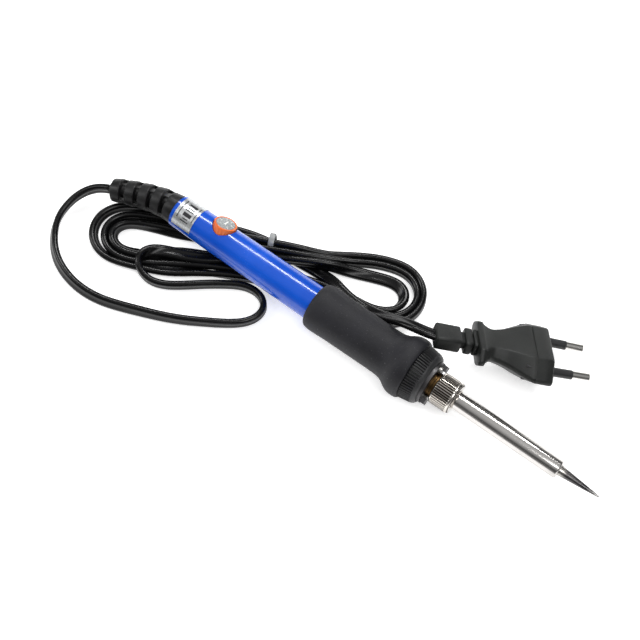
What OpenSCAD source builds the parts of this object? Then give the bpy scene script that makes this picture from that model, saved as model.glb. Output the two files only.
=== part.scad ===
// Mains soldering iron with a temperature dial, its cord and its two-pin plug.
// Millimetres. The iron lies along +X with its tip at +X, resting on its grip flare at z = 0.

/* [Handle tube] */
// Outside diameter of the tube at its rear end
tube_rear_od = 14.8; // [14.4:0.1:17.8]
// Outside diameter of the tube where it enters the grip
tube_front_od = 16; // [15.6:0.1:19.2]
// Bore of the tube
tube_bore = 11.8; // [11.6:0.1:12.4]
// Length of bare tube behind the grip
bare_len = 76; // [62:0.5:110]
// Outside diameter of the flange at the front of the tube
flange_od = 20.4; // [19.6:0.2:22]
// Length of that flange
flange_len = 7.2; // [5:0.1:9]

/* [Grip] */
// Outside diameter of the rubber grip
grip_od = 21.2; // [20:0.2:26]
// Length of the rubber grip
grip_len = 52; // [43:0.5:66]
// Widest diameter of the finger flare
flare_od = 28; // [26:0.2:33.6]
// Diameter at the front edge of the flare
flare_end_od = 26.6; // [25:0.2:26.8]
// Length of the flare, from where it starts to swell
flare_len = 12.5; // [10:0.5:16]

/* [Front collar] */
// Diameter over the ribs at the rear of the collar
collar_rear_od = 25.8; // [24:0.2:26.6]
// Diameter over the ribs at the front of the collar
collar_front_od = 23.4; // [22.8:0.2:24]
// Length of the collar
collar_len = 7.7; // [6:0.1:9.5]
// Number of ribs round the collar
collar_ribs = 62; // [40:1:72]

/* [Rating label] */
// Distance from the rear end of the tube to the label
label_start = 1.8; // [1:0.1:3]
// Width of the label along the tube
label_len = 10.2; // [7:0.1:12]
// Thickness of the foil
label_thick = 0.15; // [0.1:0.05:0.3]
// How far round the tube the foil goes, in degrees
label_wrap = 212; // [120:2:340]

/* [Dial] */
// Distance from the rear end of the tube to the dial's axis
dial_place = 23.5; // [22:0.5:30]
// Lean of the dial's axis from upright, in degrees
dial_lean = 34; // [0:1:40]
// Outside diameter of the dial
knob_od = 10.7; // [9.6:0.1:12]
// Height of the dial's face above the tube
knob_rise = 1.1; // [0.8:0.1:2]
// Height of the dial, most of it sunk in the tube
knob_h = 5.8; // [5:0.1:6]
// Diameter of the printed face in the dial
face_od = 8.7; // [7:0.1:8.8]
// Thickness of the printed face
face_thick = 0.35; // [0.2:0.05:0.6]
// Diameter of the potentiometer's shaft
shaft_d = 3; // [2.5:0.1:3.5]

/* [Circuit] */
// Length of the circuit board
board_len = 62; // [58:1:74]
// Width of the circuit board
board_w = 8.4; // [7.4:0.1:8.6]
// Thickness of the circuit board
board_thick = 1; // [0.8:0.1:1.2]
// Depth of the board's underside below the handle's axis
board_drop = 3.6; // [3.4:0.1:3.7]

/* [Front plate and thread] */
// Diameter of the steel front plate
plate_od = 19.6; // [17.6:0.2:20]
// Thickness of the front plate
plate_thick = 2; // [1.5:0.1:3]
// How far the two lugs stand out in front of the plate
lug_len = 2.2; // [1:0.1:3]
// Diameter of the threaded spigot over its thread
spigot_od = 11.5; // [10.5:0.1:12]
// Length of the spigot in front of the plate
spigot_len = 8.4; // [8:0.1:12]
// Bore of the spigot
spigot_bore = 8; // [7:0.1:8.4]

/* [Nut, barrel and tip] */
// Diameter of the nut over its knurl
nut_od = 14.6; // [14.2:0.1:17]
// Length of the nut
nut_len = 9.6; // [8:0.1:9.8]
// Number of teeth in the knurl
nut_teeth = 60; // [40:1:72]
// Outside diameter of the barrel tube
barrel_od = 8.4; // [8.2:0.1:9]
// Wall of the barrel tube
barrel_wall = 0.5; // [0.4:0.05:0.6]
// Length of the barrel tube with its rear flange
barrel_len = 55.2; // [46:0.1:66]
// Diameter of the tip where it leaves the barrel
tip_neck_d = 4.8; // [4.6:0.1:5]
// Diameter of the working point
tip_point_d = 1; // [0.4:0.1:1.6]
// Length of the tip in front of the barrel
tip_reach = 19; // [15:0.5:24]
// Diameter of the ceramic heater
heater_d = 3.8; // [3.4:0.1:3.8]

/* [Cord] */
// Width of the flat two-core cord
cord_w = 5.6; // [5.2:0.1:5.8]
// Thickness of the flat two-core cord
cord_t = 3; // [2.8:0.1:3.2]
// Height of the folded hank
hank_h = 5.8; // [5.6:0.1:6]

/* [Plug] */
// Diameter of a plug pin
pin_d = 4; // [3.9:0.1:4.1]
// Length of a pin in front of the plug's face
pin_len = 19; // [18.5:0.1:19.5]
// Length of the insulating sleeve on a pin
pin_sleeve_len = 10; // [9:0.5:11]
// Distance between the pins' axes at the plug's face
pin_spacing = 18.6; // [18:0.1:19.2]
// Distance between the pins' axes at their ends
pin_spacing_end = 17.6; // [17:0.1:18]
// Width of the plug's face
plug_w = 35.3; // [34.6:0.1:36]
// Thickness of the plug's face
plug_t = 13.7; // [13:0.1:14.4]
// Length of the plug's body, from its face to its finger flange
plug_len = 32; // [30:0.5:35]
// Length of the plug's segmented neck
neck_len = 18.4; // [16:0.2:20]

/* [Hidden] */

// Clearances
run_fit = 0.1;
shaft_fit = 0.08;
slip_gap = 0.3;

// Stations along the handle's axis, from the rear end of the tube
grip_end = bare_len + grip_len;
flange_end = grip_end + flange_len;
collar_end = grip_end + collar_len;
plate_end = flange_end + plate_thick;
spigot_end = plate_end + spigot_len;
barrel_start = spigot_end + slip_gap;
barrel_flange_t = 1.2;
barrel_flange_od = spigot_od - 0.5;
barrel_end = barrel_start + barrel_len;
nut_seat = barrel_start + barrel_flange_t + slip_gap;
nut_front_wall = 2;
nut_end = nut_seat + nut_front_wall;
nut_start = nut_end - nut_len;
nut_neck = 0.35;
rim_t = 1;
tip_shoulder = barrel_end - rim_t - slip_gap;
tip_end = barrel_end + tip_reach;
tip_sleeve_len = 21;
tip_sleeve_od = barrel_od - 2 * barrel_wall - 1;
tip_bore = heater_d + 2 * (slip_gap + 0.05);
tip_web = 1.5;
heater_end = tip_shoulder - tip_web - 1;
axis_z = flare_od / 2;

// Potentiometer, measured from the handle's axis along the dial's axis
board_top = board_thick - board_drop;
pot_h = 4.2;
pot_top = board_top + pot_h;
pot_len = 10;
board_start = dial_place - pot_len / 2 - 0.5;
knob_top = tube_r(dial_place) + knob_rise;
knob_base = knob_top - knob_h;
knob_grip = 0.6 * knob_h;
shaft_depth = 2.6;

// Front plate's screws and lugs, and the thread
screw_r = 0.9;
screw_len = flange_len - 0.5;
screw_head_r = 1.5;
screw_head_h = 1.1;
screw_circle = 7.75;
screw_slot = 0.5;
screw_turn = 35;
lug_angle = 70;
lug_w = 5.6;
lug_t = 2.6;
lug_inset = 0.4;
spigot_foot_r = spigot_bore / 2 + 0.9;
thread_pitch = 1;
thread_depth = 0.35;
knurl_depth = 0.35;
heater_seat = grip_end + 4;

// Cord clamp and leads inside the handle, and the parts on the board from its rear end
clamp_at = 7.5;
clamp_len = 4;
clamp_w = 9.2;
clamp_t = 1.8;
clamp_screw_at = 3.75;
clamp_screw_r = 0.65;
jacket_end = clamp_at + clamp_len + 1.5;
lead_r = 0.7;
lead_side = 4.85;
lead_drop = -0.5;
triac_at = 20;
capacitor_at = 25;
resistors_at = [37, 46];
diac_at = 54.5;

// The strain relief's centre line, from the middle of the handle's rear face
relief_pts = [
    [0, 0, 0], [-7, -0.6, -0.1], [-13.5, -2, -0.7], [-20, -3.9, -1.5], [-26.5, -6.2, -2.4],
    [-33, -8.7, -3.7]
];
relief_rear_r = 6.7;
relief_end_r = 5.15;
relief_core_r = 4.1;
relief_bore_r = 3.3;
relief_plug_len = 6;
relief_ring_at = 0.6;
relief_ring_t = 3.8;
relief_web = [1.4, 3];

// The cord from the strain relief, round its free loop and on to the hank, on the surface z = 0
loop_pts = [
    [-143, -8.7, 10.3], [-149, -11.5, 8.8], [-153.5, -17, 6.8], [-155.5, -24, 5], [-155, -32, 3.7],
    [-150.5, -40, 3], [-143.5, -46.5, 2.9], [-134.5, -50.5, 2.9], [-124.5, -52, 2.9],
    [-114.5, -51, 2.9], [-105, -48, 2.9], [-96, -44.5, 2.9], [-87.5, -41, 2.9], [-79, -36.8, 2.9],
    [-71, -32, 2.9], [-63.5, -27.2, 2.9], [-57.5, -22.5, 2.9], [-54, -17.5, 2.9],
    [-53.5, -12, 2.9], [-56.5, -8.2, 2.9], [-62, -6.8, 2.9], [-68, -8, 2.9],
    [-74.5, -12, 2.9], [-81.5, -17.2, 2.9], [-88.5, -23, 2.9], [-95.5, -28.2, 2.9],
    [-102, -30.7, 3], [-108, -29.8, 4.2], [-112.5, -27, 6]
];
// The cord from the hank, rising beside the grip into the plug's neck
tail_pts = [
    [-36, 16, 4.8], [-29, 13.9, 5.8], [-22, 13, 7.2], [-15, 12.9, 8.8], [-8.5, 13.1, 12],
    [-2.5, 13.2, 16.7], [3.5, 13.2, 21.1], [9.8, 13.3, 23.6]
];

// Outline of the hank: its two round ends and the waist where it is tied
hank_left = [-126, -17];
hank_left_r = 14;
hank_right = [-14, 30];
hank_right_r = 13.5;
hank_near = [
    [-122, -30], [-99, -24.8], [-86, -15.8], [-67, -4], [-48, 3.5], [-34, 8.2], [-14, 12.8], [-3, 18.6]
];
hank_far = [
    [-14, 43.5], [-34, 38.5], [-49, 29.5], [-63, 20.5], [-80, 14.5], [-105, 5.5], [-130, -3.6]
];
tie_at = [-67.2, 8.6];
tie_turn = 27;
tie_w = 2.4;
tie_t = 0.35;
tie_span = 24;

// Place of the plug's face and its three turns: yaw, nose down, and roll
plug_at = [58.3, 40.8, 10.3];
plug_yaw = 32;
plug_dip = 15;
plug_roll = 24;
plug_flat_w = 20;
plug_face_len = 8;
plug_edge = 1.4;
shoulder_len = 7;
shoulder_w = plug_w - 9;
shoulder_t = plug_t - 1.6;
groove_w = 0.7;
groove_d = 0.35;
waist_w = 16;
waist_t = 8.4;
waist_at = 25.5;
finger_w = 25.5;
finger_t = 9.6;
finger_len = 2.4;
neck_w = 10.6;
neck_t = 6.8;
neck_block = 11;
neck_gap = 1.8;
neck_core = [cord_w + 0.8, cord_t + 0.8];
neck_start = -plug_len - neck_len;
neck_front = neck_start + neck_block + neck_gap;
insert_w = 26;
insert_t = 8;
insert_len = 12;
crimp_r = 1.6;
crimp_len = 4;
crimp_depth = 2;
core_r = 1.1;
core_gap = 1.3;
pin_taper = 1.4;
sleeve_root = 2;
sleeve_root_r = 1.65;
pin_core_r = 1.5;
pin_toe = atan((pin_spacing - pin_spacing_end) / 2 / pin_len);

function tube_r(u) = (tube_rear_od + (tube_front_od - tube_rear_od) * min(u / bare_len, 1)) / 2;
function unit(v) = v / norm(v);
// Direction of a line of points at point i
function heading(pts, i) = unit(pts[min(i + 1, len(pts) - 1)] - pts[max(i - 1, 0)]);
// Part of the way along a strain relief of five rings
function relief_r(f) = relief_rear_r + (relief_end_r - relief_rear_r) * f;
// One ring of an oval tube: w wide across the run and h high
function oval_ring(p, dir, w, h, sides) =
    let (side = unit(cross([0, 0, 1], dir)), up = cross(dir, side))
    [
        for (k = [0:sides - 1])
            let (a = 360 * k / sides) p + side * w / 2 * cos(a) + up * h / 2 * sin(a)
    ];
// A toothed circle, as points
function toothed(r, depth, teeth) = [
    for (k = [0:teeth - 1], q = [[0.05, -depth], [0.3, 0], [0.7, 0], [0.95, -depth]])
        (r + q[1]) * [cos(360 * (k + q[0]) / teeth), sin(360 * (k + q[0]) / teeth)]
];

// Puts a piece of the iron, drawn from its rear end along X, in its place
module iron() {
    translate([-tip_end / 2, 0, axis_z]) children();
}

// Turns a piece so that its +Z is the dial's axis
module leaning() {
    rotate([-dial_lean, 0, 0]) children();
}

// A solid of revolution about the handle's axis, from [radius, station] points
module turned(profile) {
    rotate([0, 90, 0]) rotate_extrude($fn = 96) polygon(profile);
}

// A cylinder along the handle's axis
module rod(from, to, r) {
    translate([from, 0, 0]) rotate([0, 90, 0]) cylinder(h = to - from, r = r, $fn = 64);
}

// Turns a child's +Z along a direction
module aim(dir) {
    rotate([0, acos(dir[2]), atan2(dir[1], dir[0])]) children();
}

// A round bar from one point to another
module bar(a, b, r) {
    v = b - a;
    translate(a) aim(unit(v)) cylinder(h = norm(v), r = r, $fn = 32);
}

// An oval tube swept along a line of points
module oval_tube(pts, w, h, sides) {
    n = len(pts);
    rings = [for (i = [0:n - 1]) each oval_ring(pts[i], heading(pts, i), w, h, sides)];
    walls = [
        for (i = [0:n - 2], k = [0:sides - 1], t = [0, 1])
            let (a = i * sides + k, b = i * sides + (k + 1) % sides)
            t == 0 ? [a, a + sides, b] : [b, a + sides, b + sides]
    ];
    ends = [[for (k = [0:sides - 1]) k], [for (k = [0:sides - 1]) n * sides - 1 - k]];
    polyhedron(points = rings, faces = concat(walls, ends), convexity = 8);
}

// A round wire swept along a line of points
module wire(pts, r) {
    oval_tube(pts, 2 * r, 2 * r, 8);
}

module handle_tube() {
    r = tube_bore / 2;
    color("#1440c8") iron() difference() {
        turned([
            [r, 0], [tube_rear_od / 2 - 0.4, 0], [tube_rear_od / 2, 0.4], [tube_front_od / 2, bare_len],
            [tube_front_od / 2, grip_end], [flange_od / 2, grip_end], [flange_od / 2, flange_end],
            [r, flange_end]
        ]);
        leaning() translate([dial_place, 0, knob_base - slip_gap])
            cylinder(h = tube_front_od, d = knob_od + 2 * slip_gap, $fn = 96);
        plate_screw_places() translate([0, 0, -screw_len]) cylinder(h = screw_len + 1, r = screw_r, $fn = 24);
    }
}

// The two screws that hold the front plate: +Z of a child points forward from the plate's rear face
module plate_screw_places() {
    for (a = [0, 180]) rotate([a - screw_turn, 0, 0]) translate([flange_end, 0, screw_circle])
        rotate([0, 90, 0]) children();
}

module rating_label() {
    color("silver") iron() leaning() rotate([0, 90, 0]) rotate([0, 0, 180 - label_wrap / 2])
        rotate_extrude(angle = label_wrap, $fn = 96) polygon([
            for (q = [[0, 0], [0, 1], [label_thick, 1], [label_thick, 0]])
                let (u = label_start + label_len * q[1]) [tube_r(u) + 0.01 + q[0], u]
        ]);
}

module grip_sleeve() {
    r = tube_front_od / 2;
    swell = grip_end - flare_len;
    rise = (flare_od - grip_od) / 2;
    color("#26262a") iron() turned([
        [r, bare_len], [(r + grip_od / 2) / 2, bare_len], [grip_od / 2 - 0.3, bare_len + 1.2],
        [grip_od / 2 + 0.2, bare_len + 3], [grip_od / 2 + 0.3, bare_len + 6], [grip_od / 2, bare_len + 14],
        [grip_od / 2, swell], [grip_od / 2 + rise * 0.3, swell + flare_len * 0.25],
        [grip_od / 2 + rise * 0.85, swell + flare_len * 0.5], [flare_od / 2 - 0.2, swell + flare_len * 0.64],
        [flare_od / 2, swell + flare_len * 0.74], [flare_od / 2, swell + flare_len * 0.84],
        [flare_end_od / 2 + 0.3, swell + flare_len * 0.95], [flare_end_od / 2, grip_end], [r, grip_end]
    ]);
}

module front_collar() {
    bore = flange_od / 2;
    nose = 2;
    depth = 0.45 + (collar_rear_od - collar_front_od) / 4;
    color("#1c1c1e") iron() difference() {
        intersection() {
            turned([
                [0, grip_end], [collar_rear_od / 2 - 0.2, grip_end], [collar_rear_od / 2, grip_end + 0.4],
                [collar_front_od / 2 + 0.3, collar_end - nose],
                [collar_front_od / 2 - 0.6, collar_end - 0.8], [plate_od / 2 + 1, collar_end], [0, collar_end]
            ]);
            union() {
                translate([grip_end, 0, 0]) rotate([0, 90, 0]) linear_extrude(height = collar_len - nose)
                    polygon(toothed(collar_rear_od / 2, depth, collar_ribs));
                rod(collar_end - nose, collar_end, collar_rear_od / 2);
            }
        }
        rod(grip_end - 1, flange_end, bore);
        rod(flange_end - 1, collar_end + 1, plate_od / 2 + 0.1);
    }
}

module front_plate() {
    color("#9a9a98") iron() difference() {
        union() {
            rod(flange_end, plate_end, plate_od / 2);
            for (a = [0, 180]) rotate([a - lug_angle, 0, 0])
                translate([flange_end, -lug_w / 2, plate_od / 2 - lug_inset - lug_t])
                    cube([plate_thick + lug_len, lug_w, lug_t]);
        }
        rod(flange_end - 1, plate_end + 1, spigot_foot_r);
        plate_screw_places() translate([0, 0, -1]) cylinder(h = plate_thick + 2, r = screw_r, $fn = 24);
    }
}

module plate_screws() {
    color("#c8c8c4") iron() plate_screw_places() {
        translate([0, 0, -screw_len]) cylinder(h = screw_len + plate_thick, r = screw_r, $fn = 24);
        difference() {
            translate([0, 0, plate_thick]) cylinder(h = screw_head_h, r = screw_head_r, $fn = 32);
            translate([-screw_slot / 2, -screw_head_r, plate_thick + screw_head_h / 2])
                cube([screw_slot, 2 * screw_head_r, screw_head_h]);
        }
    }
}

module threaded_spigot() {
    r = spigot_od / 2;
    color("#b08d45") iron() difference() {
        union() {
            rod(plate_end, spigot_end, r);
            rod(flange_end, plate_end, spigot_foot_r);
        }
        for (u = [plate_end + 1.4:thread_pitch:spigot_end - 0.5]) turned([
            [r - thread_depth, u], [r + 1, u - thread_pitch * 0.45], [r + 1, u + thread_pitch * 0.45]
        ]);
        rod(flange_end - 1, spigot_end + 1, spigot_bore / 2);
    }
}

module heater_base() {
    color("#e8e2d2") iron() difference() {
        union() {
            rod(grip_end - 2, spigot_end - 1, spigot_bore / 2);
            rod(grip_end - 2, grip_end, tube_bore / 2);
        }
        rod(heater_seat, spigot_end, heater_d / 2);
    }
}

module heater_element() {
    color("#f2efe8") iron() {
        rod(heater_seat, heater_end - 0.4, heater_d / 2);
        rod(heater_end - 0.4, heater_end, heater_d / 2 - 0.4);
    }
}

module soldering_tip() {
    color("#c9c4b8") iron() turned([
        [tip_bore / 2, tip_shoulder - tip_sleeve_len], [tip_sleeve_od / 2, tip_shoulder - tip_sleeve_len],
        [tip_sleeve_od / 2, tip_shoulder], [tip_neck_d / 2, tip_shoulder], [tip_neck_d / 2, barrel_end],
        [tip_point_d / 2, tip_end - 0.4], [tip_point_d / 2 - 0.2, tip_end], [0, tip_end],
        [0, tip_shoulder - tip_web], [tip_bore / 2, tip_shoulder - tip_web]
    ]);
}

module barrel_tube() {
    r = barrel_od / 2;
    color("#d6d6d6") iron() turned([
        [r - nut_neck - barrel_wall, barrel_start], [barrel_flange_od / 2, barrel_start],
        [barrel_flange_od / 2, barrel_start + barrel_flange_t],
        [r - nut_neck, barrel_start + barrel_flange_t], [r - nut_neck, nut_end + 0.5],
        [r, nut_end + 0.5], [r, barrel_end - 0.5], [r - 0.5, barrel_end],
        [tip_neck_d / 2 + slip_gap, barrel_end], [tip_neck_d / 2 + slip_gap, barrel_end - rim_t],
        [r - barrel_wall, barrel_end - rim_t],
        [r - barrel_wall, nut_end + 0.5], [r - nut_neck - barrel_wall, nut_end + 0.5]
    ]);
}

module barrel_nut() {
    color("#dcdcdc") iron() difference() {
        intersection() {
            translate([nut_start, 0, 0]) rotate([0, 90, 0]) linear_extrude(height = nut_len)
                polygon(toothed(nut_od / 2, knurl_depth, nut_teeth));
            turned([
                [0, nut_start], [nut_od / 2 - 0.6, nut_start], [nut_od / 2, nut_start + 0.6],
                [nut_od / 2, nut_end - 0.6], [nut_od / 2 - 0.6, nut_end], [0, nut_end]
            ]);
        }
        rod(nut_start - 1, nut_seat, spigot_od / 2 + run_fit);
        rod(nut_seat - 1, nut_end + 1, barrel_od / 2 + 0.15);
    }
}

module dial_knob() {
    edge = 0.5;
    color("#f06a14") iron() leaning() translate([dial_place, 0, 0]) difference() {
        rotate_extrude($fn = 72) polygon([
            [0, knob_base], [knob_od / 2 - 0.2, knob_base], [knob_od / 2, knob_base + 0.3],
            [knob_od / 2, knob_top - edge], [knob_od / 2 - 0.3, knob_top - 0.15],
            [face_od / 2 + 0.2, knob_top], [face_od / 2, knob_top], [face_od / 2, knob_top - face_thick],
            [0, knob_top - face_thick]
        ]);
        translate([0, 0, knob_base - 1]) cylinder(h = knob_grip + 1, d = shaft_d, $fn = 48);
    }
}

module dial_face() {
    color("#a8a6a2") iron() leaning() translate([dial_place, 0, knob_top - face_thick])
        cylinder(h = face_thick, d = face_od, $fn = 72);
}

module potentiometer_shaft() {
    top = knob_base + knob_grip;
    bottom = pot_top - shaft_depth;
    color("#d8d8d8") iron() leaning() translate([dial_place, 0, bottom])
        cylinder(h = top - bottom, d = shaft_d, $fn = 48);
}

module potentiometer_body() {
    w = board_w - 0.4;
    color("#3a5f9a") iron() leaning() difference() {
        translate([dial_place - pot_len / 2, -w / 2, board_top]) cube([pot_len, w, pot_h]);
        translate([dial_place, 0, pot_top - shaft_depth - slip_gap])
            cylinder(h = pot_h, d = shaft_d + 2 * shaft_fit, $fn = 48);
    }
}

module circuit_board() {
    color("#2f7a46") iron() leaning() translate([board_start, -board_w / 2, -board_drop])
        cube([board_len, board_w, board_thick]);
}

// Stands a piece on the board at a station measured from the board's rear end
module on_board(u) {
    iron() leaning() translate([board_start + u, 0, board_top]) children();
}

module triac() {
    color("#222222") on_board(triac_at) difference() {
        cylinder(h = 4.6, r = 2.3, $fn = 48);
        translate([1.4, -3, -1]) cube([3, 6, 7]);
    }
}

module film_capacitor() {
    color("#b23a2a") on_board(capacitor_at) translate([0, -2.2, 0]) cube([9, 4.4, 6.2]);
}

module resistors() {
    for (u = resistors_at) color("#caa878") on_board(u) {
        translate([0, 0, 1.2]) rotate([0, 90, 0]) cylinder(h = 6, r = 1.15, $fn = 32);
    }
}

module diac() {
    color("#d2763a") on_board(diac_at) translate([0, 0, 1]) rotate([0, 90, 0])
        cylinder(h = 4, r = 0.95, $fn = 32);
}

module mains_leads() {
    u = board_start;
    for (s = [-1, 1]) color(s > 0 ? "#7a4a24" : "#2a58b0") iron() leaning() wire([
        [jacket_end, s * core_gap, 0], [jacket_end + 0.6, s * core_gap, 0],
        [u - 0.6, s * lead_side, lead_drop],
        [u + pot_len + 1, s * lead_side, lead_drop], [u + pot_len + 4, s * 3, board_top + 0.8]
    ], lead_r);
}

module heater_leads() {
    u = board_start + board_len;
    for (s = [-1, 1]) color("#e8e4da") iron() leaning() wire([
        [u - 2, s * 3, board_top + 0.8], [u + 2, s * 2.4, 0], [grip_end - 8, s * 1.6, 0],
        [grip_end - 2, s * 1.2, 0]
    ], lead_r);
}

module clamp_saddle() {
    color("#1840a8") iron() leaning() difference() {
        translate([clamp_at, -clamp_w / 2, -cord_t / 2 - clamp_t]) cube([clamp_len, clamp_w, clamp_t]);
        clamp_screw_holes();
    }
}

module clamp_bar() {
    color("#e6e2d4") iron() leaning() difference() {
        translate([clamp_at, -clamp_w / 2, cord_t / 2]) cube([clamp_len, clamp_w, clamp_t]);
        clamp_screw_holes();
    }
}

module clamp_screw_holes() {
    for (s = [-1, 1]) translate([clamp_at + clamp_len / 2, s * clamp_screw_at, -2 * cord_t])
        cylinder(h = 4 * cord_t, r = clamp_screw_r, $fn = 24);
}

module clamp_screws() {
    bottom = -cord_t / 2 - clamp_t + 0.3;
    color("#c8c8c4") for (s = [-1, 1]) iron() leaning()
        translate([clamp_at + clamp_len / 2, s * clamp_screw_at, bottom])
            cylinder(h = cord_t / 2 + clamp_t - bottom, r = clamp_screw_r, $fn = 24);
}

module strain_relief() {
    n = len(relief_pts) - 1;
    last_dir = unit(relief_pts[n] - relief_pts[n - 1]);
    color("#1e1e20") iron() difference() {
        union() {
            rod(-1, relief_plug_len, tube_bore / 2);
            oval_tube(relief_pts, 2 * relief_core_r, 2 * relief_core_r, 16);
            for (i = [0:n - 1]) {
                step = relief_pts[i + 1] - relief_pts[i];
                r = relief_r((i + 0.3) / n);
                translate(relief_pts[i] - [i == 0 ? 0.01 : 0, 0, 0]) aim(unit(step)) {
                    translate([0, 0, relief_ring_at]) cylinder(h = relief_ring_t, r = r, $fn = 64);
                    // Two webs tie each ring to the next, a quarter turn on each time
                    if (i < n - 1) rotate([0, 0, 90 * (i % 2)]) for (s = [-1, 1])
                        translate([s * (r - 1.6) - relief_web[0] / 2, -relief_web[1] / 2, relief_ring_at + 1])
                            cube([relief_web[0], relief_web[1], norm(step)]);
                }
            }
        }
        oval_tube(concat([[relief_plug_len + 1, 0, 0]], relief_pts, [relief_pts[n] + last_dir]),
            2 * relief_bore_r, 2 * relief_bore_r, 16);
    }
}

// The cord inside the strain relief and the clamp, up to where its jacket is stripped
module cord_inlet() {
    color("#161618") {
        iron() oval_tube(relief_pts, cord_t, cord_w, 10);
        iron() leaning() translate([0, -cord_w / 2, -cord_t / 2]) cube([jacket_end, cord_w, cord_t]);
    }
}

module cord_loop() {
    color("#161618") oval_tube(loop_pts, cord_t, cord_w, 10);
}

module cord_hank() {
    color("#161618") difference() {
        linear_extrude(height = hank_h) {
            polygon(concat(hank_near, hank_far));
            translate(hank_left) circle(r = hank_left_r, $fn = 96);
            translate(hank_right) circle(r = hank_right_r, $fn = 96);
        }
        tie_band();
    }
}

module cord_tail() {
    color("#161618") oval_tube(concat(tail_pts, [neck_rear()]), cord_t, cord_w, 10);
}

// The band of the twist tie, round the hank's waist
module tie_band() {
    translate([tie_at[0], tie_at[1], 0]) rotate([0, 0, tie_turn]) difference() {
        translate([-tie_w / 2, -tie_span / 2 - tie_t, 0]) cube([tie_w, tie_span + 2 * tie_t, hank_h + tie_t]);
        translate([-tie_w, -tie_span / 2, tie_t]) cube([2 * tie_w, tie_span, hank_h - tie_t]);
    }
}

module hank_tie() {
    color("#a8a8a4") {
        tie_band();
        translate([tie_at[0], tie_at[1], 0]) rotate([0, 0, tie_turn])
            bar([0, -tie_span / 2 - 0.9, 3], [5.2, -tie_span / 2 - 1.5, 2.4], 0.8);
    }
}

// Puts a piece of the plug in its place: +X is the way the pins point, Y is across the pins
module plug() {
    translate(plug_at) rotate([0, 0, plug_yaw]) rotate([0, plug_dip, 0]) rotate([-plug_roll, 0, 0])
        children();
}

// The middle of the neck's rear end
function neck_rear() = plug_at - (plug_len + neck_len)
    * [cos(plug_yaw) * cos(plug_dip), sin(plug_yaw) * cos(plug_dip), -sin(plug_dip)];

// The plug's flattened six-sided section, w wide and t thick, standing on x with thickness d
module plug_slice(x, d, w, t, flat_w) {
    e = plug_edge / 2;
    translate([x, 0, 0]) rotate([90, 0, 90]) linear_extrude(height = d) polygon([
        [-w / 2, -e], [-flat_w / 2, -t / 2], [flat_w / 2, -t / 2], [w / 2, -e],
        [w / 2, e], [flat_w / 2, t / 2], [-flat_w / 2, t / 2], [-w / 2, e]
    ]);
}

// A thin slice where two lengths of the plug's body meet
module body_slice(x, w, t, flat_w) {
    plug_slice(x, 0.1, w, t, flat_w);
}

// A block across the plug, centred on its axis
module plug_block(x, d, w, t) {
    translate([x, -w / 2, -t / 2]) cube([d, w, t]);
}

// Where each pin stands: +Z of a child points out of the plug's face
module pin_places() {
    for (s = [-1, 1]) translate([0, s * pin_spacing / 2, 0]) rotate([0, 90, -s * pin_toe]) children();
}

module pin_shape() {
    root = insert_len - crimp_depth;
    translate([0, 0, -root]) cylinder(h = root + pin_sleeve_len, r = pin_core_r, $fn = 48);
    translate([0, 0, pin_sleeve_len]) cylinder(h = pin_len - pin_sleeve_len - pin_taper, d = pin_d, $fn = 64);
    translate([0, 0, pin_len - pin_taper])
        cylinder(h = pin_taper, r1 = pin_d / 2, r2 = pin_d / 2 - 1.1, $fn = 64);
}

module sleeve_shape() {
    cylinder(h = pin_sleeve_len, d = pin_d, $fn = 64);
    translate([0, 0, -sleeve_root]) cylinder(h = sleeve_root + 1, r = sleeve_root_r, $fn = 64);
}

module crimp_shape() {
    translate([0, 0, -insert_len - crimp_len + crimp_depth]) cylinder(h = crimp_len, r = crimp_r, $fn = 32);
}

module wire_shape(r) {
    crimp_start = -insert_len - crimp_len;
    for (s = [-1, 1]) wire([
        [neck_start, s * core_gap, 0], [-plug_len, s * core_gap, 0],
        [crimp_start - 2, s * (pin_spacing / 2 + 0.2), 0],
        [crimp_start + crimp_depth + 0.2, s * (pin_spacing / 2 + 0.28), 0]
    ], r);
}

module plug_body() {
    color("#2c2c2e") plug() difference() {
        union() {
            plug_slice(-plug_face_len, plug_face_len, plug_w, plug_t, plug_flat_w);
            hull() {
                body_slice(-plug_face_len, plug_w, plug_t, plug_flat_w);
                body_slice(-plug_face_len - shoulder_len, shoulder_w, shoulder_t, plug_flat_w - 4);
            }
            hull() {
                body_slice(-plug_face_len - shoulder_len, shoulder_w, shoulder_t, plug_flat_w - 4);
                body_slice(-waist_at, waist_w, waist_t, waist_w - 5);
            }
            hull() {
                body_slice(-waist_at, waist_w, waist_t, waist_w - 5);
                plug_slice(-plug_len, finger_len, finger_w, finger_t, finger_w - 8);
            }
            plug_block(neck_start, neck_block, neck_w, neck_t);
            plug_block(neck_start, neck_len, neck_core[0], neck_core[1]);
            plug_block(neck_front, -plug_len - neck_front, neck_w, neck_t);
        }
        translate([-insert_len, -insert_w / 2, -insert_t / 2]) cube([insert_len + 1, insert_w, insert_t]);
        wire_shape(core_r);
        pin_places() crimp_shape();
        // Parting groove across the top flat
        translate([-plug_face_len, -plug_w / 2, plug_t / 2 - groove_d]) cube([groove_w, plug_w, 1]);
    }
}

module plug_insert() {
    color("#3a3a3c") plug() difference() {
        translate([-insert_len, -insert_w / 2, -insert_t / 2]) cube([insert_len, insert_w, insert_t]);
        pin_places() {
            sleeve_shape();
            translate([0, 0, -insert_len - 1]) cylinder(h = insert_len + 1, r = pin_core_r, $fn = 48);
            crimp_shape();
        }
    }
}

module plug_pins() {
    color("#dcdcda") plug() pin_places() pin_shape();
}

module pin_sleeves() {
    color("#1a1a1c") plug() pin_places() difference() {
        sleeve_shape();
        translate([0, 0, -3]) cylinder(h = pin_sleeve_len + 4, r = pin_core_r, $fn = 48);
    }
}

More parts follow.
